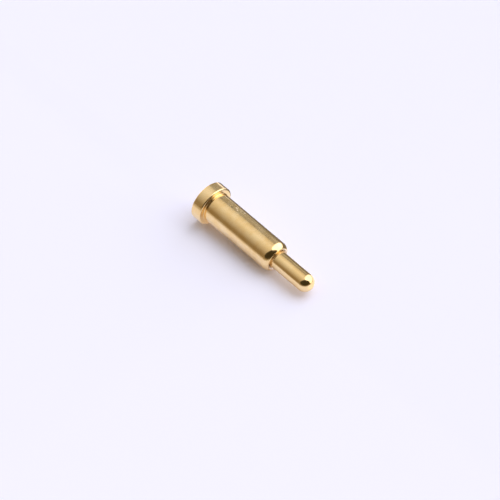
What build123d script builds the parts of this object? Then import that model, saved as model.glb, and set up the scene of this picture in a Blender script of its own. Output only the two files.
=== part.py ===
from build123d import *

import math
import os

# Spring contact pin that is soldered to a board by its flange and touches with its rounded tip.
# Sizes are in millimetres and degrees. The pin stands on its solder face: the origin is the centre
# of that face, and +Z runs along the pin to the tip.

# Barrel, turned in one piece with its flange
barrel_diameter = 1.5
barrel_wall = 0.175
barrel_length = 4.8
flange_overhang = 0.25
flange_thickness = 0.6
flange_front_round = 0.06
flange_root_round = 0.03
solder_edge_chamfer = 0.05
floor_thickness = 0.3
drill_point_angle = 118

# Mouth of the barrel, where the wall is rolled in to hold the plunger
mouth_roll_in = 0.105
roll_angle = 53
mouth_edge_round = 0.06

# Plunger
pin_length = 7.0
tail_length = 0.9
tail_slant = 12

# Spring
wire_diameter = 0.12
wire_sides = 8
active_turns = 6
closed_turns = 1
closed_coil_gap = 0.03

# Fits
mouth_clearance = 0.02
tail_clearance = 0.02
spring_clearance = 0.05
spring_seat_gap = 0.01

# The flange, the bore and the bore's floor
barrel_radius = barrel_diameter / 2
flange_radius = barrel_radius + flange_overhang
bore_radius = barrel_radius - barrel_wall
floor_slope = math.radians(90 - drill_point_angle / 2)
bore_floor_height = floor_thickness + bore_radius * math.tan(floor_slope)

# The rolled wall keeps its thickness: its outside and inside are arcs about one centre, and the
# inside arc ends at the hole that the plunger runs in.
roll_inner_radius = mouth_roll_in / (1 - math.cos(math.radians(roll_angle)))
roll_outer_radius = roll_inner_radius + barrel_wall
roll_centre_radius = bore_radius - roll_inner_radius
roll_start_height = barrel_length - roll_outer_radius * math.sin(math.radians(roll_angle))

# The plunger's shaft runs in the mouth. Its tail fills the bore, and the shoulder between them
# follows the inside of the rolled wall.
plunger_radius = bore_radius - mouth_roll_in - mouth_clearance
tail_radius = bore_radius - tail_clearance
shoulder_radius = roll_inner_radius - tail_clearance
shoulder_angle = math.degrees(math.acos((plunger_radius - roll_centre_radius) / shoulder_radius))
tail_end_height = roll_start_height - tail_length

# The spring stands on the cone of the bore's floor. Its wire ends at +X, under the tail's low side.
wire_radius = wire_diameter / 2
coil_radius = bore_radius - spring_clearance - wire_radius
spring_start_height = (
    floor_thickness
    + coil_radius * math.tan(floor_slope)
    + (wire_radius + spring_seat_gap) / math.cos(floor_slope)
)
spring_end_height = tail_end_height - spring_seat_gap - wire_radius
closed_pitch = wire_diameter + closed_coil_gap


def rims(solid, radius, height):
    """Return the circular edges of one radius at one height."""
    circles = solid.edges().filter_by(GeomType.CIRCLE)
    return [
        edge
        for edge in circles
        if math.isclose(edge.radius, radius, abs_tol=1e-5)
        and math.isclose(edge.arc_center.Z, height, abs_tol=1e-5)
    ]


def make_barrel():
    """Turn the flanged tube, bore it blind with a drill point, and roll its mouth in."""
    roll_centre = (roll_centre_radius, roll_start_height)
    with BuildPart() as barrel:
        with BuildSketch(Plane.XZ):
            with BuildLine():
                Polyline(
                    (0, 0),
                    (flange_radius, 0),
                    (flange_radius, flange_thickness),
                    (barrel_radius, flange_thickness),
                    (barrel_radius, roll_start_height),
                )
                outside = CenterArc(roll_centre, roll_outer_radius, 0, roll_angle)
                inside = CenterArc(roll_centre, roll_inner_radius, 0, roll_angle)
                Line(outside @ 1, inside @ 1)
                Polyline(
                    (bore_radius, roll_start_height),
                    (bore_radius, bore_floor_height),
                    (0, floor_thickness),
                    (0, 0),
                )
            make_face()
        revolve(axis=Axis.Z)
        fillet(rims(barrel.part, flange_radius, flange_thickness), flange_front_round)
        fillet(rims(barrel.part, barrel_radius, flange_thickness), flange_root_round)
        fillet(rims(barrel.part, (outside @ 1).X, barrel_length), mouth_edge_round)
        chamfer(rims(barrel.part, flange_radius, 0), solder_edge_chamfer)
    return barrel.part


def make_plunger():
    """Turn the domed shaft with its wider tail, and cut the tail's end on the slant.

    The spring presses on the slanted end, which pushes the tail against the bore's wall and
    keeps the two in contact.
    """
    dome_height = pin_length - plunger_radius
    with BuildPart() as plunger:
        with BuildSketch(Plane.XZ):
            with BuildLine():
                Polyline((0, tail_end_height), (tail_radius, tail_end_height), (tail_radius, roll_start_height))
                shoulder = CenterArc((roll_centre_radius, roll_start_height), shoulder_radius, 0, shoulder_angle)
                Line(shoulder @ 1, (plunger_radius, dome_height))
                CenterArc((0, dome_height), plunger_radius, 0, 90)
                Line((0, pin_length), (0, tail_end_height))
            make_face()
        revolve(axis=Axis.Z)
        slant = Plane((tail_radius, 0, tail_end_height)).rotated((0, tail_slant, 0))
        split(bisect_by=slant, keep=Keep.TOP)
    return plunger.part


def make_spring():
    """Wind the spring: open turns between a closed turn at each end, of eight-sided wire."""
    closed_rise = closed_turns * closed_pitch
    active_rise = spring_end_height - spring_start_height - 2 * closed_rise
    active_start = (0, 0, spring_start_height + closed_rise)
    head_start = (0, 0, spring_end_height - closed_rise)
    with BuildPart() as spring:
        with BuildLine() as path:
            foot = Helix(closed_pitch, closed_rise, coil_radius, center=(0, 0, spring_start_height))
            Helix(active_rise / active_turns, active_rise, coil_radius, center=active_start)
            Helix(closed_pitch, closed_rise, coil_radius, center=head_start)
        with BuildSketch(Plane(foot @ 0, z_dir=foot % 0)):
            RegularPolygon(wire_radius, wire_sides)
        sweep(path=path.wire(), is_frenet=True)
    return spring.part


os.makedirs("parts", exist_ok=True)
nodes = {
    "barrel": make_barrel(),
    "plunger": make_plunger(),
    "spring": make_spring(),
}
for name, solid in nodes.items():
    export_step(solid, f"parts/{name}.step")

solid_spring_length = (active_turns + 2 * closed_turns + 1) * wire_diameter
spring_length = spring_end_height - spring_start_height + wire_diameter
print(f"plunger radius {plunger_radius:.3f}, roll starts at {roll_start_height:.3f}")
print(f"spring {spring_length:.3f} long at rest, {solid_spring_length:.3f} when solid")
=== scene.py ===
"""Dresses the spring contact pin as it lies in the photograph, and lights and frames it."""

import logging
import math
from dataclasses import dataclass, field
from enum import Enum

import bmesh
import bpy
from mathutils import Matrix, Vector


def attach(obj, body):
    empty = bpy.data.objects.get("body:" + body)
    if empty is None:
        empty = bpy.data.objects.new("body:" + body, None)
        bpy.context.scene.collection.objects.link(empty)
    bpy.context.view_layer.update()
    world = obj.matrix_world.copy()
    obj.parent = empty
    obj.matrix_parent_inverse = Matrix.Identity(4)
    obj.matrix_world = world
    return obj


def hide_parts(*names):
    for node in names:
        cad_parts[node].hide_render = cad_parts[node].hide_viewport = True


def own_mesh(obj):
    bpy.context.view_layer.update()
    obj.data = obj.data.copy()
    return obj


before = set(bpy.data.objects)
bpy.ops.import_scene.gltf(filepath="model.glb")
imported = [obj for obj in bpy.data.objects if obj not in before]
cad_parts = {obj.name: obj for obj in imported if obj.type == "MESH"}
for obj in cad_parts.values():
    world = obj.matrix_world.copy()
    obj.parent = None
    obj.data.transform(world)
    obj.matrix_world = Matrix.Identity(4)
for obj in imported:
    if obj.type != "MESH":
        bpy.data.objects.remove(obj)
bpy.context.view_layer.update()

MILLIMETRE = 0.001
MERGE_DISTANCE = 1e-5
RIM_TOLERANCE = 1e-4
SHARP_ANGLE = 32
SUPPORT = 0.02

log = logging.getLogger("pin")


# Shader maths


class Value:
    """One number of a shader, on which arithmetic adds Math nodes."""

    def __init__(self, shader: "Shader", socket: bpy.types.NodeSocket) -> None:
        """Wrap one output socket.

        Args:
            shader: The shader that the socket belongs to.
            socket: The output that gives the number.
        """
        self.shader = shader
        self.socket = socket

    def maths(self, operation: str, *others: "Value | float") -> "Value":
        """Add a Math node.

        Args:
            operation: The Math node's operation.
            others: The node's inputs after this one.

        Returns:
            The node's result.
        """
        return self.shader.maths(operation, self, *others)

    def __add__(self, other: "Value | float") -> "Value":
        """Return the sum."""
        return self.maths("ADD", other)

    def __radd__(self, other: float) -> "Value":
        """Return the sum with a number in front."""
        return self.maths("ADD", other)

    def __sub__(self, other: "Value | float") -> "Value":
        """Return the difference."""
        return self.maths("SUBTRACT", other)

    def __rsub__(self, other: float) -> "Value":
        """Return a number less this value."""
        return self.shader.maths("SUBTRACT", other, self)

    def __mul__(self, other: "Value | float") -> "Value":
        """Return the product."""
        return self.maths("MULTIPLY", other)

    def __rmul__(self, other: float) -> "Value":
        """Return the product with a number in front."""
        return self.maths("MULTIPLY", other)

    def __truediv__(self, other: "Value | float") -> "Value":
        """Return the quotient."""
        return self.maths("DIVIDE", other)

    def size(self) -> "Value":
        """Return the value without its sign."""
        return self.maths("ABSOLUTE")

    def ramp(self, start: float, end: float) -> "Value":
        """Rise smoothly from 0 to 1 between two values, or fall where end is the lower one.

        Args:
            start: The value at which the result is 0.
            end: The value at which it is 1.

        Returns:
            The smooth step.
        """
        low, high = min(start, end), max(start, end)
        step = self.shader.node(
            "ShaderNodeMapRange",
            {"interpolation_type": "SMOOTHSTEP"},
            {"Value": self, "From Min": low, "From Max": high},
        )
        rise = Value(self.shader, step.outputs["Result"])
        return rise if end > start else 1.0 - rise


class Shader:
    """The node tree of one material or of the world."""

    def __init__(self, tree: bpy.types.NodeTree) -> None:
        """Empty a node tree to build a shader in it.

        Args:
            tree: The node tree of a material or world.
        """
        self.tree = tree
        tree.nodes.clear()

    def node(
        self, kind: str, settings: dict | None = None, sockets: dict | None = None
    ) -> bpy.types.Node:
        """Add a node.

        Args:
            kind: The node's type.
            settings: Its own settings, which are set first.
            sockets: Values, vectors or links for its inputs, by name or number.

        Returns:
            The new node.
        """
        made = self.tree.nodes.new(kind)
        for name, setting in (settings or {}).items():
            setattr(made, name, setting)
        for key, given in (sockets or {}).items():
            source = given.socket if isinstance(given, Value) else given
            if isinstance(source, bpy.types.NodeSocket):
                self.tree.links.new(source, made.inputs[key])
            else:
                made.inputs[key].default_value = source
        return made

    def maths(self, operation: str, *inputs: "Value | float") -> Value:
        """Add a Math node.

        Args:
            operation: The node's operation.
            inputs: Its inputs in order.

        Returns:
            The node's result.
        """
        made = self.node("ShaderNodeMath", {"operation": operation}, dict(enumerate(inputs)))
        return Value(self, made.outputs[0])

    def vector(self, operation: str, *inputs: object, scale: float | None = None) -> bpy.types.Node:
        """Add a Vector Math node.

        Args:
            operation: The node's operation.
            inputs: Its vector inputs in order.
            scale: The factor of a SCALE operation.

        Returns:
            The new node.
        """
        sockets = dict(enumerate(inputs))
        if scale is not None:
            sockets["Scale"] = scale
        return self.node("ShaderNodeVectorMath", {"operation": operation}, sockets)

    def measure(self, operation: str, *inputs: object) -> Value:
        """Add a Vector Math node that gives a number.

        Args:
            operation: The node's operation, such as LENGTH or DISTANCE.
            inputs: Its vector inputs in order.

        Returns:
            The number.
        """
        return Value(self, self.vector(operation, *inputs).outputs["Value"])

    def dot(self, source: bpy.types.NodeSocket, direction: Vector) -> Value:
        """Return how far a vector reaches along a direction."""
        return self.measure("DOT_PRODUCT", source, direction[:])

    def coordinate(self, source: bpy.types.NodeSocket, axis: str) -> Value:
        """Return one coordinate of a vector, by its axis's name."""
        return Value(self, self.node("ShaderNodeSeparateXYZ", {}, {0: source}).outputs[axis])

    def place(self) -> bpy.types.NodeSocket:
        """Return the socket of the place on the object, in millimetres."""
        where = self.node("ShaderNodeTexCoord").outputs["Object"]
        return self.vector("SCALE", where, scale=1 / MILLIMETRE).outputs[0]

    def blend(self, factor: "Value | float", first: object, second: object) -> bpy.types.NodeSocket:
        """Mix two colours.

        Args:
            factor: The share of the second one.
            first: A colour or its socket.
            second: A colour or its socket.

        Returns:
            The mixed colour's socket.
        """
        settings = {"data_type": "RGBA", "clamp_factor": True}
        return self.node("ShaderNodeMix", settings, {0: factor, 6: first, 7: second}).outputs[2]

    def noise(
        self, where: bpy.types.NodeSocket, scale: float, detail: float, rough: float = 0.5
    ) -> Value:
        """Add a noise texture.

        Args:
            where: The socket of the place to read it at.
            scale: Its scale.
            detail: Its number of finer layers.
            rough: How strong the finer layers are.

        Returns:
            The noise, about 0.5 on average.
        """
        sockets = {"Vector": where, "Scale": scale, "Detail": detail, "Roughness": rough}
        made = self.node("ShaderNodeTexNoise", {"noise_dimensions": "3D"}, sockets)
        return Value(self, made.outputs["Fac"])

    def emission(self, colour: object, strength: float = 1.0) -> bpy.types.NodeSocket:
        """Add an Emission shader.

        Args:
            colour: Its colour or the socket of one.
            strength: How strong it is.

        Returns:
            The shader's socket.
        """
        sockets = {"Color": colour, "Strength": strength}
        return self.node("ShaderNodeEmission", {}, sockets).outputs[0]

    def mix(
        self, factor: Value, first: bpy.types.NodeSocket, second: bpy.types.NodeSocket
    ) -> bpy.types.NodeSocket:
        """Mix two surfaces.

        Args:
            factor: The share of the second one.
            first: A shader's socket.
            second: A shader's socket.

        Returns:
            The mixed shader's socket.
        """
        return self.node("ShaderNodeMixShader", {}, {0: factor, 1: first, 2: second}).outputs[0]

    def show(self, surface: bpy.types.NodeSocket) -> None:
        """Make a surface the one that the material shows."""
        self.node("ShaderNodeOutputMaterial", {}, {"Surface": surface})

    def show_metal(
        self, colour: bpy.types.NodeSocket, rough: Value, relief: Value, height: float
    ) -> None:
        """Make the material a metal with a fine relief.

        Args:
            colour: The metal's colour.
            rough: Its roughness.
            relief: The shape of its relief.
            height: How high the relief stands, in millimetres.
        """
        sockets = {"Strength": 1.0, "Distance": height * MILLIMETRE, "Height": relief}
        bump = self.node("ShaderNodeBump", {}, sockets)
        metal = {"Base Color": colour, "Roughness": rough, "Metallic": 1.0, "Normal": bump.outputs[0]}
        self.show(self.node("ShaderNodeBsdfPrincipled", {}, metal).outputs[0])


def new_material(name: str) -> tuple[bpy.types.Material, Shader]:
    """Start a material.

    Args:
        name: Its name.

    Returns:
        The material and its empty shader.
    """
    made = bpy.data.materials.new(name)
    made.use_nodes = True
    return made, Shader(made.node_tree)


def linear(red: int, green: int, blue: int) -> tuple[float, float, float, float]:
    """Turn a colour as a screen shows it, from 0 to 255, into the light that it stands for.

    Args:
        red: The red part.
        green: The green part.
        blue: The blue part.

    Returns:
        The linear colour with an alpha of 1.
    """
    parts = [part / 255 for part in (red, green, blue)]
    light = [part / 12.92 if part <= 0.04045 else ((part + 0.055) / 1.055) ** 2.4 for part in parts]
    return (*light, 1.0)


# Finishes


class Mark(Enum):
    """What a knock leaves in the plating."""

    PIT = "pit"
    SCUFF = "scuff"


@dataclass(frozen=True)
class Nick:
    """A small mark in the plating, with its place and reach in millimetres."""

    place: tuple[float, float, float]
    reach: float
    strength: float
    mark: Mark = Mark.PIT
    raggedness: float = 1.6
    core: float = 0.35

    def hit(self, shader: Shader, place: bpy.types.NodeSocket, torn: Value) -> Value:
        """Tell how strong the mark is at a place.

        Args:
            shader: The plating's shader.
            place: The socket of the place on the piece.
            torn: The noise that makes the mark's edge uneven.

        Returns:
            The mark's strength in its core, falling to 0 at its edge.
        """
        gap = shader.measure("DISTANCE", place, self.place)
        edge = gap + (torn - 0.5) * self.reach * self.raggedness
        return edge.ramp(self.reach, self.reach * self.core) * self.strength


@dataclass(frozen=True)
class DullBand:
    """A cut face round the axis that the tool leaves duller than the rest, in millimetres."""

    inner: float
    outer: float
    low: float
    high: float
    roughness: float
    paleness: float
    edge: float = 0.01

    def reach(self, radius: Value, height: Value) -> Value:
        """Tell where the band is.

        Args:
            radius: The distance from the axis.
            height: The height along it.

        Returns:
            1 in the band and 0 outside it.
        """
        inside = radius.ramp(self.inner, self.inner + self.edge)
        inside = inside * radius.ramp(self.outer + self.edge, self.outer)
        above = height.ramp(self.low, self.low + self.edge)
        return inside * above * height.ramp(self.high + self.edge, self.high)


@dataclass(frozen=True)
class GoldPlating:
    """Bright gold plating over turned brass, with the lathe's fine marks under it."""

    name: str
    deep: tuple[float, float, float, float]
    pale: tuple[float, float, float, float]
    roughness: float
    mark_scale: float
    mark_height: float
    nicks: tuple[Nick, ...] = ()
    dull_bands: tuple[DullBand, ...] = ()
    cut_tint: tuple[float, float, float, float] = (0.86, 0.78, 0.67, 1.0)
    pit_tint: tuple[float, float, float, float] = linear(92, 78, 44)
    pit_share: float = 0.8
    pit_relief: float = 6.0
    scuff_share: float = 0.4
    nick_roughness: float = 0.2
    torn_scale: float = 9.0
    ring_fade: float = 0.03
    mark_roughness: float = 0.06
    broad_scale: float = 0.17
    broad_relief: float = 0.8
    grain_scale: float = 22.0
    grain_relief: float = 0.25
    cloud_scale: float = 1.6
    cloud_span: tuple[float, float] = (0.35, 0.68)
    cloud_roughness: float = 0.1

    def material(self) -> bpy.types.Material:
        """Build the plating's material.

        Returns:
            A material on Object coordinates.
        """
        made, shader = new_material(self.name)
        place = shader.place()
        across = shader.vector("MULTIPLY", place, (1, 1, 0)).outputs[0]
        radius = shader.measure("LENGTH", across)
        around = shader.vector("NORMALIZE", across).outputs[0]
        height = shader.coordinate(place, "Z")

        # The tool leaves rings that run round the axis and fade in and out along the way.
        fade_x = shader.coordinate(around, "X") * self.ring_fade
        fade_y = shader.coordinate(around, "Y") * self.ring_fade
        rings = {"X": radius + fade_x, "Y": height, "Z": fade_y}
        lathe = shader.node("ShaderNodeCombineXYZ", {}, rings).outputs[0]
        marks = shader.noise(lathe, self.mark_scale, detail=2.0)
        broad = shader.noise(lathe, self.mark_scale * self.broad_scale, detail=1.0)
        grain = shader.noise(place, self.grain_scale, detail=3.0)
        cloud = shader.noise(place, self.cloud_scale, detail=3.0, rough=0.6)

        colour = shader.blend(cloud.ramp(*self.cloud_span), self.deep, self.pale)
        rough = self.roughness + (marks - 0.5) * self.mark_roughness
        rough = rough + (cloud - 0.5) * self.cloud_roughness
        relief = marks + broad * self.broad_relief + grain * self.grain_relief
        for band in self.dull_bands:
            dull = band.reach(radius, height)
            colour = shader.blend(dull * band.paleness, colour, self.cut_tint)
            rough = rough + dull * band.roughness
        torn = shader.noise(place, self.torn_scale, detail=3.0, rough=0.7)
        for nick in self.nicks:
            hit = nick.hit(shader, place, torn)
            rough = rough + hit * self.nick_roughness
            if nick.mark is Mark.PIT:
                colour = shader.blend(hit * self.pit_share, colour, self.pit_tint)
                relief = relief - hit * self.pit_relief
            else:
                colour = shader.blend(hit * self.scuff_share, colour, self.cut_tint)
        shader.show_metal(colour, rough, relief, self.mark_height)
        return made


@dataclass(frozen=True)
class SpringSteel:
    """Drawn stainless wire, with faint lines along it from the die."""

    name: str
    tint: tuple[float, float, float, float]
    shade: tuple[float, float, float, float]
    roughness: float
    line_scale: float = 90.0
    line_height: float = 0.0006
    line_roughness: float = 0.12
    cloud_scale: float = 4.0
    cloud_relief: float = 0.4
    cloud_span: tuple[float, float] = (0.3, 0.7)
    cloud_roughness: float = 0.1

    def material(self) -> bpy.types.Material:
        """Build the wire's material.

        Returns:
            A material on Object coordinates.
        """
        made, shader = new_material(self.name)
        place = shader.place()
        across = shader.vector("MULTIPLY", place, (1, 1, 0)).outputs[0]
        radius = shader.measure("LENGTH", across)
        drawn = shader.node("ShaderNodeCombineXYZ", {}, {"X": radius}).outputs[0]
        lines = shader.noise(drawn, self.line_scale, detail=2.0)
        cloud = shader.noise(place, self.cloud_scale, detail=3.0)
        colour = shader.blend(cloud.ramp(*self.cloud_span), self.shade, self.tint)
        rough = self.roughness + (lines - 0.5) * self.line_roughness
        rough = rough + (cloud - 0.5) * self.cloud_roughness
        shader.show_metal(colour, rough, lines + cloud * self.cloud_relief, self.line_height)
        return made


# Turned pieces


class Lathe:
    """Draws a profile in the plane of X and Z, in millimetres, and turns it about Z."""

    def __init__(self, radius: float, height: float) -> None:
        """Start a profile.

        Args:
            radius: The first point's distance from the axis.
            height: Its height.
        """
        self.mesh = bmesh.new()
        self.tip = self.mesh.verts.new((radius, 0, height))

    def to(self, radius: float, height: float) -> None:
        """Draw a straight line to a point.

        Args:
            radius: The point's distance from the axis.
            height: Its height.
        """
        drawn = bmesh.ops.extrude_vert_indiv(self.mesh, verts=[self.tip])
        self.tip = drawn["verts"][0]
        self.tip.co = (radius, 0, height)

    def arc(self, centre: tuple[float, float], degrees: float, steps: int) -> None:
        """Draw an arc from the last point.

        Args:
            centre: The arc's centre, as radius and height.
            degrees: How far it turns, counted from the radius towards the axis's tip.
            steps: Its number of short edges.
        """
        swept = bmesh.ops.spin(
            self.mesh,
            geom=[self.tip],
            cent=(centre[0], 0, centre[1]),
            axis=(0, -1, 0),
            angle=math.radians(degrees),
            steps=steps,
        )
        self.tip = next(part for part in swept["geom_last"] if isinstance(part, bmesh.types.BMVert))

    def turn(self, steps: int) -> None:
        """Turn the profile into a closed body.

        Args:
            steps: The number of faces round the axis.
        """
        profile = self.mesh.verts[:] + self.mesh.edges[:]
        bmesh.ops.spin(
            self.mesh,
            geom=profile,
            cent=(0, 0, 0),
            axis=(0, 0, 1),
            angle=math.tau,
            steps=steps,
            use_merge=True,
        )
        bmesh.ops.remove_doubles(self.mesh, verts=self.mesh.verts, dist=MERGE_DISTANCE)
        bmesh.ops.recalc_face_normals(self.mesh, faces=self.mesh.faces)

    def ease_rim(self, radius: float, height: float, width: float, segments: int) -> None:
        """Round or chamfer one rim of the turned body.

        Args:
            radius: The rim's radius.
            height: Its height.
            width: How far the round or chamfer reaches from the rim.
            segments: 1 for a chamfer, more for a round.
        """

        def on_rim(vert: bmesh.types.BMVert) -> bool:
            """Tell whether a vertex is on the rim."""
            reach = math.hypot(vert.co.x, vert.co.y)
            return abs(reach - radius) < RIM_TOLERANCE and abs(vert.co.z - height) < RIM_TOLERANCE

        rim = [edge for edge in self.mesh.edges if all(on_rim(vert) for vert in edge.verts)]
        bmesh.ops.bevel(
            self.mesh,
            geom=rim,
            offset=width,
            offset_type="OFFSET",
            segments=segments,
            profile=0.5,
            affect="EDGES",
            material=-1,
            clamp_overlap=True,
        )


def as_piece(mesh: bmesh.types.BMesh, name: str, material: bpy.types.Material) -> bpy.types.Object:
    """Make an object of a mesh that was built in millimetres.

    Args:
        mesh: The finished mesh, which is freed.
        name: The piece's name.
        material: Its finish.

    Returns:
        An object at the origin, with its place in its mesh.
    """
    bmesh.ops.scale(mesh, vec=(MILLIMETRE,) * 3, verts=mesh.verts)
    for face in mesh.faces:
        face.smooth = True
    data = bpy.data.meshes.new(name)
    mesh.to_mesh(data)
    mesh.free()
    data.set_sharp_from_angle(angle=math.radians(SHARP_ANGLE))
    data.materials.append(material)
    piece = bpy.data.objects.new(name, data)
    bpy.context.scene.collection.objects.link(piece)
    return piece


@dataclass
class Barrel:
    """The flanged tube, bored blind and with its mouth rolled in, in millimetres and degrees."""

    finish: GoldPlating
    radius: float = 0.75
    wall: float = 0.175
    length: float = 4.8
    flange_radius: float = 1.0
    flange_thickness: float = 0.6
    front_round: float = 0.06
    root_round: float = 0.03
    solder_chamfer: float = 0.05
    floor: float = 0.3
    drill_angle: float = 118
    roll_in: float = 0.105
    roll_angle: float = 53
    mouth_round: float = 0.06
    faces_round: int = 144
    outer_roll_steps: int = 10
    lip_steps: int = 8
    inner_roll_steps: int = 5
    round_steps: int = 6

    @property
    def bore(self) -> float:
        """Radius of the bore."""
        return self.radius - self.wall

    @property
    def inner_roll(self) -> float:
        """Radius of the roll's inside."""
        return self.roll_in / (1 - math.cos(math.radians(self.roll_angle)))

    @property
    def outer_roll(self) -> float:
        """Radius of the roll's outside."""
        return self.inner_roll + self.wall

    @property
    def roll_centre(self) -> tuple[float, float]:
        """Radius and height of the centre that the wall is rolled about."""
        start = self.length - self.outer_roll * math.sin(math.radians(self.roll_angle))
        return self.bore - self.inner_roll, start

    def build(self) -> bpy.types.Object:
        """Turn the barrel.

        Returns:
            The finished piece.
        """
        roll_radius, roll_height = self.roll_centre
        lean = math.radians(self.roll_angle)
        inward, upward = math.cos(lean), math.sin(lean)
        ease = self.mouth_round
        reach = math.sqrt((self.outer_roll - ease) ** 2 - ease**2)
        lip_turn = math.degrees(math.atan2(ease, reach))
        lip = (
            roll_radius + reach * inward + ease * upward,
            roll_height + reach * upward - ease * inward,
        )
        drill_depth = self.bore * math.tan(math.radians(90 - self.drill_angle / 2))
        lathe = Lathe(0, 0)
        lathe.to(self.flange_radius, 0)
        lathe.to(self.flange_radius, self.flange_thickness - self.front_round - SUPPORT)
        lathe.to(self.flange_radius, self.flange_thickness)
        lathe.to(self.flange_radius - self.front_round - SUPPORT, self.flange_thickness)
        lathe.to(self.radius + self.root_round + SUPPORT, self.flange_thickness)
        lathe.to(self.radius, self.flange_thickness)
        lathe.to(self.radius, self.flange_thickness + self.root_round + SUPPORT)
        lathe.to(self.radius, roll_height - SUPPORT)
        lathe.to(self.radius, roll_height)
        lathe.arc(self.roll_centre, self.roll_angle - lip_turn, self.outer_roll_steps)
        lathe.arc(lip, 90 + lip_turn, self.lip_steps)
        for depth in (reach - SUPPORT, self.inner_roll):
            lathe.to(roll_radius + depth * inward, roll_height + depth * upward)
        lathe.arc(self.roll_centre, -self.roll_angle, self.inner_roll_steps)
        lathe.to(self.bore, self.floor + drill_depth)
        lathe.to(0, self.floor)
        lathe.turn(self.faces_round)
        lathe.ease_rim(self.flange_radius, self.flange_thickness, self.front_round, self.round_steps)
        lathe.ease_rim(self.radius, self.flange_thickness, self.root_round, self.round_steps)
        lathe.ease_rim(self.flange_radius, 0, self.solder_chamfer, 1)
        piece = as_piece(lathe.mesh, "barrel_turned", self.finish.material())
        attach(piece, "barrel")
        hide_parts("barrel")
        return piece


@dataclass
class Plunger:
    """The domed shaft with its wide tail, which is cut on the slant, in millimetres and degrees."""

    finish: GoldPlating
    barrel: Barrel
    pin_length: float = 7.0
    tail_length: float = 0.9
    tail_slant: float = 12
    mouth_clearance: float = 0.02
    tail_clearance: float = 0.02
    faces_round: int = 128
    shoulder_steps: int = 8
    dome_steps: int = 20

    def build(self) -> bpy.types.Object:
        """Turn the plunger and cut its tail.

        Returns:
            The finished piece.
        """
        barrel = self.barrel
        roll_radius, roll_height = barrel.roll_centre
        radius = barrel.bore - barrel.roll_in - self.mouth_clearance
        tail = barrel.bore - self.tail_clearance
        tail_end = roll_height - self.tail_length
        shoulder = barrel.inner_roll - self.tail_clearance
        shoulder_angle = math.degrees(math.acos((radius - roll_radius) / shoulder))
        dome_height = self.pin_length - radius
        lathe = Lathe(0, tail_end)
        lathe.to(tail, tail_end)
        lathe.to(tail, roll_height)
        lathe.arc(barrel.roll_centre, shoulder_angle, self.shoulder_steps)
        lathe.to(radius, dome_height - SUPPORT)
        lathe.to(radius, dome_height)
        lathe.arc((0, dome_height), 90, self.dome_steps)
        lathe.turn(self.faces_round)
        slope = math.radians(self.tail_slant)
        cut = bmesh.ops.bisect_plane(
            lathe.mesh,
            geom=lathe.mesh.verts[:] + lathe.mesh.edges[:] + lathe.mesh.faces[:],
            plane_co=(tail, 0, tail_end),
            plane_no=(-math.sin(slope), 0, -math.cos(slope)),
            clear_outer=True,
        )
        edges = [part for part in cut["geom_cut"] if isinstance(part, bmesh.types.BMEdge)]
        bmesh.ops.edgeloop_fill(lathe.mesh, edges=edges)
        bmesh.ops.recalc_face_normals(lathe.mesh, faces=lathe.mesh.faces)
        piece = as_piece(lathe.mesh, "plunger_turned", self.finish.material())
        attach(piece, "plunger")
        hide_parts("plunger")
        return piece


@dataclass
class Spring:
    """The round-wire spring between the bore's floor and the tail, in millimetres."""

    finish: SpringSteel
    coil_radius: float = 0.465
    wire_radius: float = 0.06
    foot_height: float = 0.66118
    head_height: float = 3.47964
    closed_pitch: float = 0.15
    active_turns: int = 6
    steps_per_turn: int = 72
    wire_faces: int = 16
    travel: float = 1.4

    def build(self) -> bpy.types.Object:
        """Wind the spring.

        Returns:
            The finished piece.
        """
        mesh = bmesh.new()
        upright = Matrix.Translation((self.coil_radius, 0, self.foot_height)) @ Matrix.Rotation(
            math.pi / 2, 4, "X"
        )
        bmesh.ops.create_circle(
            mesh, cap_ends=False, segments=self.wire_faces, radius=self.wire_radius, matrix=upright
        )
        start = mesh.edges[:]
        ring: list = mesh.verts[:] + mesh.edges[:]
        rise = self.head_height - self.foot_height - 2 * self.closed_pitch
        for turns, height in ((1, self.closed_pitch), (self.active_turns, rise), (1, self.closed_pitch)):
            steps = turns * self.steps_per_turn
            wound = bmesh.ops.spin(
                mesh,
                geom=ring,
                cent=(0, 0, 0),
                axis=(0, 0, 1),
                angle=math.tau * turns,
                steps=steps,
                dvec=(0, 0, height / steps),
            )
            ring = wound["geom_last"]
        end = [part for part in ring if isinstance(part, bmesh.types.BMEdge)]
        for rim in (start, end):
            bmesh.ops.edgeloop_fill(mesh, edges=rim)
        bmesh.ops.recalc_face_normals(mesh, faces=mesh.faces)
        piece = as_piece(mesh, "spring_wound", self.finish.material())
        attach(piece, "barrel")
        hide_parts("spring")
        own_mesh(piece)
        return piece


# The table, the light and the camera


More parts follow.
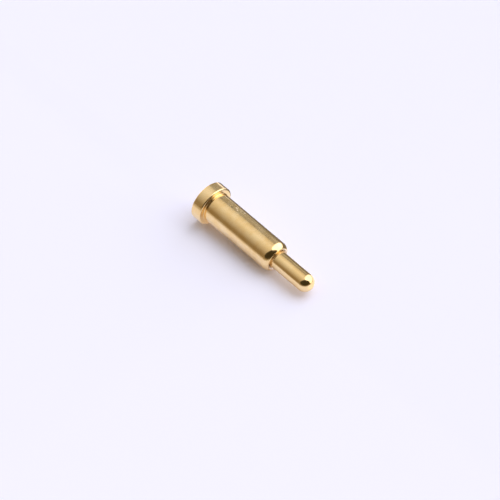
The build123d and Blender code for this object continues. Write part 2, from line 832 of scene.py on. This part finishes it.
@dataclass
class Lay:
    """How the pin lies: on the front of its flange and on its rolled mouth, seen from above.

    The directions are those of the part's own frame, in which the pin stands upright.
    """

    barrel: Barrel
    camera_height: float = 48.2
    turned: float = 46.45
    up: Vector = field(init=False)
    right: Vector = field(init=False)
    away: Vector = field(init=False)
    along: Vector = field(init=False)
    beside: Vector = field(init=False)
    gap: float = field(init=False)

    def __post_init__(self) -> None:
        """Find the plane that touches the flange and the rolled mouth."""
        barrel = self.barrel
        ease = barrel.front_round
        rim = Vector((barrel.flange_radius - ease, barrel.flange_thickness - ease))
        roll = Vector(barrel.roll_centre)
        span = roll - rim
        lean = math.acos((barrel.outer_roll - ease) / span.length)
        tilt = lean - math.atan2(span.y, -span.x)
        self.gap = rim.x * math.cos(tilt) + rim.y * math.sin(tilt) + ease
        side = Vector((-math.sqrt(0.5), math.sqrt(0.5), 0))
        self.up = -(side * math.cos(tilt) + Vector((0, 0, math.sin(tilt))))
        along = Vector((0, 0, 1))
        along = (along - along.dot(self.up) * self.up).normalized()
        beside = self.up.cross(along)
        self.along = along
        self.beside = beside
        turn = math.radians(self.turned)
        self.right = along * math.cos(turn) + beside * math.sin(turn)
        self.away = beside * math.cos(turn) - along * math.sin(turn)

    @property
    def to_camera(self) -> Vector:
        """Direction from the pin to the camera."""
        height = math.radians(self.camera_height)
        return self.up * math.sin(height) - self.away * math.cos(height)

    def drop(self, height: float) -> Vector:
        """Find the place on the table under a point of the pin's axis.

        Args:
            height: The point's height along the axis.

        Returns:
            The place on the table.
        """
        point = Vector((0, 0, height))
        return point - self.up * (self.gap + point.dot(self.up))

    def direction(self, bearing: float, elevation: float) -> Vector:
        """Give a direction in the studio.

        Args:
            bearing: Degrees from the picture's right, round towards the far side.
            elevation: Degrees above the table.

        Returns:
            The direction in the part's frame.
        """
        turn, height = math.radians(bearing), math.radians(elevation)
        level = self.right * math.cos(turn) + self.away * math.sin(turn)
        return level * math.cos(height) + self.up * math.sin(height)


@dataclass(frozen=True)
class TablePaint:
    """Pale paint with some light of its own, which ends softly and can't be seen from below.

    A span, in millimetres, gives where something starts and where it is full. Along spans count from
    the solder face along the pin. Beside spans count across the pin and are positive on the lit side.
    """

    name: str
    tint: tuple[float, float, float, float]
    speck_tint: tuple[float, float, float, float]
    speck_scale: float = 0.35
    speck_share: float = 0.06
    fade_span: tuple[float, float] = (60.0, 85.0)

    # Light of its own
    own_light: float = 0.12
    contact_loss: float = 0.9
    contact_beside: tuple[float, float] = (0.9, 0.35)
    contact_along: tuple[float, float] = (5.0, 4.0)
    plunger_light: float = 0.17
    plunger_along: tuple[float, float] = (3.4, 5.4)
    flange_light: float = 0.4
    flange_along: tuple[float, float] = (1.8, 0.9)
    clear_light: float = 0.34
    clear_beside: tuple[float, float] = (-0.5, -2.0)
    clear: tuple[float, float, float, float] = (0.935, 0.915, 1.03, 1.0)
    warm: tuple[float, float, float, float] = (0.95, 0.80, 0.74, 1.0)
    warm_beside: tuple[float, float] = (1.2, 0.3)
    warm_start_along: tuple[float, float] = (-0.8, 0.2)
    warm_end_along: tuple[float, float] = (7.6, 6.4)

    # What only the plating mirrors
    lit_strength: float = 1.35
    lit_beside: tuple[float, float] = (0.4, 1.1)
    past_tip_along: tuple[float, float] = (6.4, 8.4)
    past_tip_shift: float = 1.5
    dusk: tuple[float, float, float, float] = (0.55, 0.48, 0.40, 1.0)
    dusk_beside: tuple[float, float] = (-3.5, -12.0)

    def material(self, lay: Lay, centre: Vector) -> bpy.types.Material:
        """Build the paint.

        Args:
            lay: How the pin lies on the table.
            centre: The middle of the table top.

        Returns:
            A material on Object coordinates.
        """
        made, shader = new_material(self.name)
        place = shader.place()
        speck = shader.noise(place, self.speck_scale, detail=3.0)
        colour = shader.blend(speck * self.speck_share, self.tint, self.speck_tint)
        paint = shader.node("ShaderNodeBsdfDiffuse", {}, {"Color": colour}).outputs[0]
        path = shader.node("ShaderNodeLightPath")
        mirrored = Value(shader, path.outputs["Is Glossy Ray"])
        photographed = Value(shader, path.outputs["Is Camera Ray"])
        beside = shader.dot(place, lay.beside)
        along = shader.dot(place, lay.along)

        # Its own light is painted light that lightens the pin's shadow. Close to the pin it is warm,
        # painted in for the light that the gold throws onto the table. It is stronger by the plunger and
        # on the unlit side. The camera sees the least of it right beside the barrel, which leaves the
        # shadow darkest there, and the plating sees the most of it by the flange.
        contact = beside.size().ramp(*self.contact_beside) * along.ramp(*self.contact_along)
        share = self.own_light * (1.0 - contact * photographed * self.contact_loss)
        share = share + along.ramp(*self.plunger_along) * self.plunger_light
        share = share + beside.ramp(*self.clear_beside) * self.clear_light
        share = share + along.ramp(*self.flange_along) * mirrored * self.flange_light
        # Painted warm light where the gold would throw light onto the table.
        painted_gold_bounce = beside.size().ramp(*self.warm_beside)
        painted_gold_bounce = painted_gold_bounce * along.ramp(*self.warm_start_along) * along.ramp(*self.warm_end_along)
        glow = shader.emission(shader.blend(painted_gold_bounce, self.clear, self.warm))
        paint = shader.mix((photographed + mirrored) * share, paint, glow)

        # In the plating the lit side of the table is brighter than the camera shows it.
        lit = (beside + along.ramp(*self.past_tip_along) * self.past_tip_shift).ramp(*self.lit_beside)
        paint = shader.mix(lit * mirrored, paint, shader.emission(self.tint, self.lit_strength))

        # Far off on the other side it is dim in the plating.
        dusk = beside.ramp(*self.dusk_beside) * mirrored
        paint = shader.mix(dusk, paint, shader.emission(self.dusk))

        # It ends softly, and nothing of it shows from below.
        reach = shader.measure("DISTANCE", place, centre[:])
        below = Value(shader, shader.node("ShaderNodeNewGeometry").outputs["Backfacing"])
        faded = reach.ramp(*self.fade_span).maths("MAXIMUM", below)
        nothing = shader.node("ShaderNodeBsdfTransparent").outputs[0]
        shader.show(shader.mix(faded, paint, nothing))
        return made


@dataclass
class Table:
    """The table top under the pin, in millimetres."""

    lay: Lay
    finish: TablePaint
    radius: float = 90.0
    middle_height: float = 3.5
    rim_faces: int = 96

    def build(self) -> bpy.types.Object:
        """Lay the table top under the pin.

        Returns:
            The staged object.
        """
        foot = self.lay.drop(self.middle_height)
        turned = self.lay.up.to_track_quat("Z", "Y").to_matrix().to_4x4()
        mesh = bmesh.new()
        bmesh.ops.create_circle(
            mesh,
            cap_ends=True,
            segments=self.rim_faces,
            radius=self.radius,
            matrix=Matrix.Translation(foot) @ turned,
        )
        top = as_piece(mesh, "table_top", self.finish.material(self.lay, foot))
        return top


@dataclass
class EdgeCard:
    """A low dark card along the pin's far side, which only the plating mirrors, in millimetres.

    It darkens the far edge of the barrel and plunger, so that they stand out from the pale table.
    """

    lay: Lay
    distance: float = 1.75
    height: float = 1.45
    low_end: float = -0.9
    high_end: float = 6.0
    shade: tuple[float, float, float, float] = (0.22, 0.20, 0.18, 1.0)

    def build(self) -> bpy.types.Object:
        """Stand the card on the table.

        Returns:
            The staged object.
        """
        lay = self.lay
        foot = lay.drop((self.low_end + self.high_end) / 2) + lay.beside * self.distance
        axes = Matrix((lay.along, lay.up, lay.beside)).transposed().to_4x4()
        centre = foot + lay.up * self.height / 2
        stretch = Matrix.Diagonal(((self.high_end - self.low_end) / 2, self.height / 2, 1, 1))
        mesh = bmesh.new()
        bmesh.ops.create_grid(mesh, size=1, matrix=Matrix.Translation(centre) @ axes @ stretch)
        made, shader = new_material("edge_card_grey")
        shader.show(shader.emission(self.shade))
        card = as_piece(mesh, "edge_card", made)
        card.visible_camera = False
        card.visible_diffuse = False
        card.visible_shadow = False
        return card


class Edge(Enum):
    """How a card ends."""

    STRAIGHT = "straight"
    ROUND = "round"


@dataclass(frozen=True)
class Card:
    """A soft light or a dark screen round the pin.

    Its four sides are in degrees from the direction that it faces the pin from.
    """

    bearing: float
    elevation: float
    left: float
    right: float
    below: float
    above: float
    softness: float
    light: tuple[float, float, float]
    edge: Edge = Edge.STRAIGHT
    least_depth: float = 0.001
    front_span: tuple[float, float] = (0.0, 0.02)

    def cover(self, shader: Shader, ray: bpy.types.NodeSocket, lay: Lay) -> Value:
        """Tell how much of the card is in the way of a ray.

        Args:
            shader: The world's shader.
            ray: The ray's direction.
            lay: The directions of the studio.

        Returns:
            1 in the card's middle and 0 outside it.
        """
        facing = lay.direction(self.bearing, self.elevation)
        leftward = lay.direction(self.bearing + 90, 0)
        upward = facing.cross(leftward)
        depth = shader.dot(ray, facing)
        ahead = depth.maths("MAXIMUM", self.least_depth)
        sides = []
        for way, low, high in ((leftward, -self.right, self.left), (upward, -self.below, self.above)):
            start, end = math.tan(math.radians(low)), math.tan(math.radians(high))
            middle, half = (start + end) / 2, (end - start) / 2
            sides.append((shader.dot(ray, way) / ahead - middle) / half)
        inner, outer = 1 - self.softness, 1 + self.softness
        front = depth.ramp(*self.front_span)
        if self.edge is Edge.ROUND:
            reach = (sides[0] * sides[0] + sides[1] * sides[1]).maths("SQRT")
            return reach.ramp(outer, inner) * front
        return sides[0].size().ramp(outer, inner) * sides[1].size().ramp(outer, inner) * front


@dataclass(frozen=True)
class Glow:
    """Light that fades evenly with the angle from its middle, in degrees."""

    bearing: float
    elevation: float
    reach: float
    light: tuple[float, float, float]

    def cover(self, shader: Shader, ray: bpy.types.NodeSocket, lay: Lay) -> Value:
        """Tell how strong the glow is along a ray.

        Args:
            shader: The world's shader.
            ray: The ray's direction.
            lay: The directions of the studio.

        Returns:
            1 in the glow's middle, falling to 0 at its reach.
        """
        toward = shader.dot(ray, lay.direction(self.bearing, self.elevation))
        angle = toward.maths("ARCCOSINE")
        return (1.0 - angle / math.radians(self.reach)).maths("MAXIMUM", 0.0)


@dataclass
class Studio:
    """Everything that the plating mirrors, and the pale background that the camera sees."""

    lay: Lay
    cards: tuple[Card | Glow, ...]
    room: tuple[float, float, float, float] = (0.29, 0.22, 0.13, 1.0)
    background: tuple[float, float, float, float] = (0.913, 0.896, 1.0, 1.0)
    table_light: tuple[float, float, float] = (1.055, 1.07, 1.15)
    glare: tuple[float, float, float] = (2.05, 2.05, 2.05)
    under_table: tuple[float, float] = (0.0, -0.02)

    def build(self) -> bpy.types.World:
        """Build the world.

        Returns:
            The world.
        """
        world = bpy.data.worlds.new("studio")
        world.use_nodes = True
        bpy.context.scene.world = world
        shader = Shader(world.node_tree)
        ray = shader.node("ShaderNodeTexCoord").outputs["Generated"]
        ray = shader.vector("NORMALIZE", ray).outputs[0]
        colour: object = self.room
        for card in self.cards:
            colour = shader.blend(card.cover(shader, ray, self.lay), colour, (*card.light, 1.0))

        # The table catches a cooler light than the plating mirrors, whose glare stays cream.
        path = shader.node("ShaderNodeLightPath")
        cool = shader.vector("MULTIPLY", colour, self.table_light).outputs[0]
        mirrored = shader.vector("MINIMUM", colour, self.glare).outputs[0]
        colour = shader.blend(Value(shader, path.outputs["Is Glossy Ray"]), cool, mirrored)
        seen = Value(shader, path.outputs["Is Camera Ray"])
        seen = seen.maths("MAXIMUM", shader.dot(ray, self.lay.up).ramp(*self.under_table))
        light = shader.node("ShaderNodeBackground", {}, {"Color": colour, "Strength": 1.0})
        plain = shader.node("ShaderNodeBackground", {}, {"Color": self.background, "Strength": 1.0})
        mixed = shader.mix(seen, light.outputs[0], plain.outputs[0])
        shader.node("ShaderNodeOutputWorld", {}, {"Surface": mixed})
        return world


@dataclass
class ProductCamera:
    """The camera that takes the photograph, in millimetres and pixels of a 500 by 500 picture."""

    lay: Lay
    distance: float = 150.0
    pixels_per_millimetre: float = 21.6
    picture: int = 500
    base_x: float = 206.6
    base_y: float = 199.3
    sensor: float = 36.0
    nearest: float = 1.0
    farthest: float = 1000.0

    def build(self) -> bpy.types.Object:
        """Set up the camera.

        Returns:
            The scene's camera.
        """
        lay = self.lay
        back = lay.to_camera
        raised = back.cross(lay.right)
        beside = (self.picture / 2 - self.base_x) / self.pixels_per_millimetre
        below = (self.picture / 2 - self.base_y) / self.pixels_per_millimetre
        target = lay.right * beside - raised * below
        data = bpy.data.cameras.new("camera")
        data.sensor_width = self.sensor
        data.lens = self.distance * self.sensor * self.pixels_per_millimetre / self.picture
        data.clip_start = self.nearest * MILLIMETRE
        data.clip_end = self.farthest * MILLIMETRE
        camera = bpy.data.objects.new("camera", data)
        axes = Matrix((lay.right, raised, back)).transposed().to_4x4()
        camera.matrix_world = Matrix.Translation((target + back * self.distance) * MILLIMETRE) @ axes
        bpy.context.scene.collection.objects.link(camera)
        bpy.context.scene.camera = camera
        return camera


BARREL_GOLD = GoldPlating(
    name="barrel_gold",
    deep=(0.93, 0.66, 0.31, 1.0),
    pale=(0.97, 0.74, 0.41, 1.0),
    roughness=0.15,
    mark_scale=24.0,
    mark_height=0.0004,
    nicks=(
        Nick((0.43, -0.61, 1.53), 0.10, 1.0),
        Nick((0.31, -0.68, 1.73), 0.09, 1.0, Mark.SCUFF),
        Nick((0.39, -0.64, 1.84), 0.06, 0.8, Mark.SCUFF),
        Nick((0.30, -0.69, 2.02), 0.06, 0.8),
        Nick((0.22, -0.72, 2.16), 0.08, 0.7, Mark.SCUFF),
    ),
    dull_bands=(
        DullBand(inner=0.76, outer=0.93, low=0.57, high=0.64, roughness=0.16, paleness=0.0),
        DullBand(inner=0.40, outer=0.57, low=4.60, high=4.80, roughness=0.22, paleness=1.0),
    ),
)

PLUNGER_GOLD = GoldPlating(
    name="plunger_gold",
    deep=(0.93, 0.66, 0.31, 1.0),
    pale=(0.97, 0.73, 0.39, 1.0),
    roughness=0.13,
    mark_scale=30.0,
    mark_height=0.0003,
)

WIRE_STEEL = SpringSteel(
    name="wire_steel",
    tint=(0.72, 0.70, 0.66, 1.0),
    shade=(0.58, 0.56, 0.53, 1.0),
    roughness=0.3,
)

TABLE_PAINT = TablePaint(
    name="table_paint",
    tint=(0.89, 0.88, 0.985, 1.0),
    speck_tint=(0.93, 0.93, 0.97, 1.0),
)

STUDIO_CARDS = (
    Glow(115, 76, 70, (1.0, 0.965, 0.915)),
    Card(95, 12, 60, 46, 30, 35, 0.06, (0.36, 0.345, 0.32)),
    Card(22, 13, 39.5, 43, 8, 62, 0.06, (1.9, 1.9, 1.97)),
    Card(24, 13, 38, 40, 6, 24, 0.2, (2.2, 2.2, 2.25)),
    Card(8, 64, 25, 25, 25, 25, 0.15, (3.0, 3.0, 3.15), Edge.ROUND),
    Card(-88, 37, 57, 60, 31, 37, 0.14, (0.05, 0.04, 0.02), Edge.ROUND),
)


def dress() -> None:
    """Build the pieces, the table, the light and the camera."""
    logging.basicConfig(level=logging.INFO, format="%(message)s")
    barrel = Barrel(BARREL_GOLD)
    lay = Lay(barrel)
    plunger = Plunger(PLUNGER_GOLD, barrel)
    for maker in (barrel, plunger, Spring(WIRE_STEEL), Table(lay, TABLE_PAINT), EdgeCard(lay)):
        piece = maker.build()
        log.info("%s: %d faces", piece.name, len(piece.data.polygons))
    Studio(lay, STUDIO_CARDS).build()
    ProductCamera(lay).build()
    bpy.context.scene.view_settings.view_transform = "Standard"


if __name__ == "__main__":
    dress()
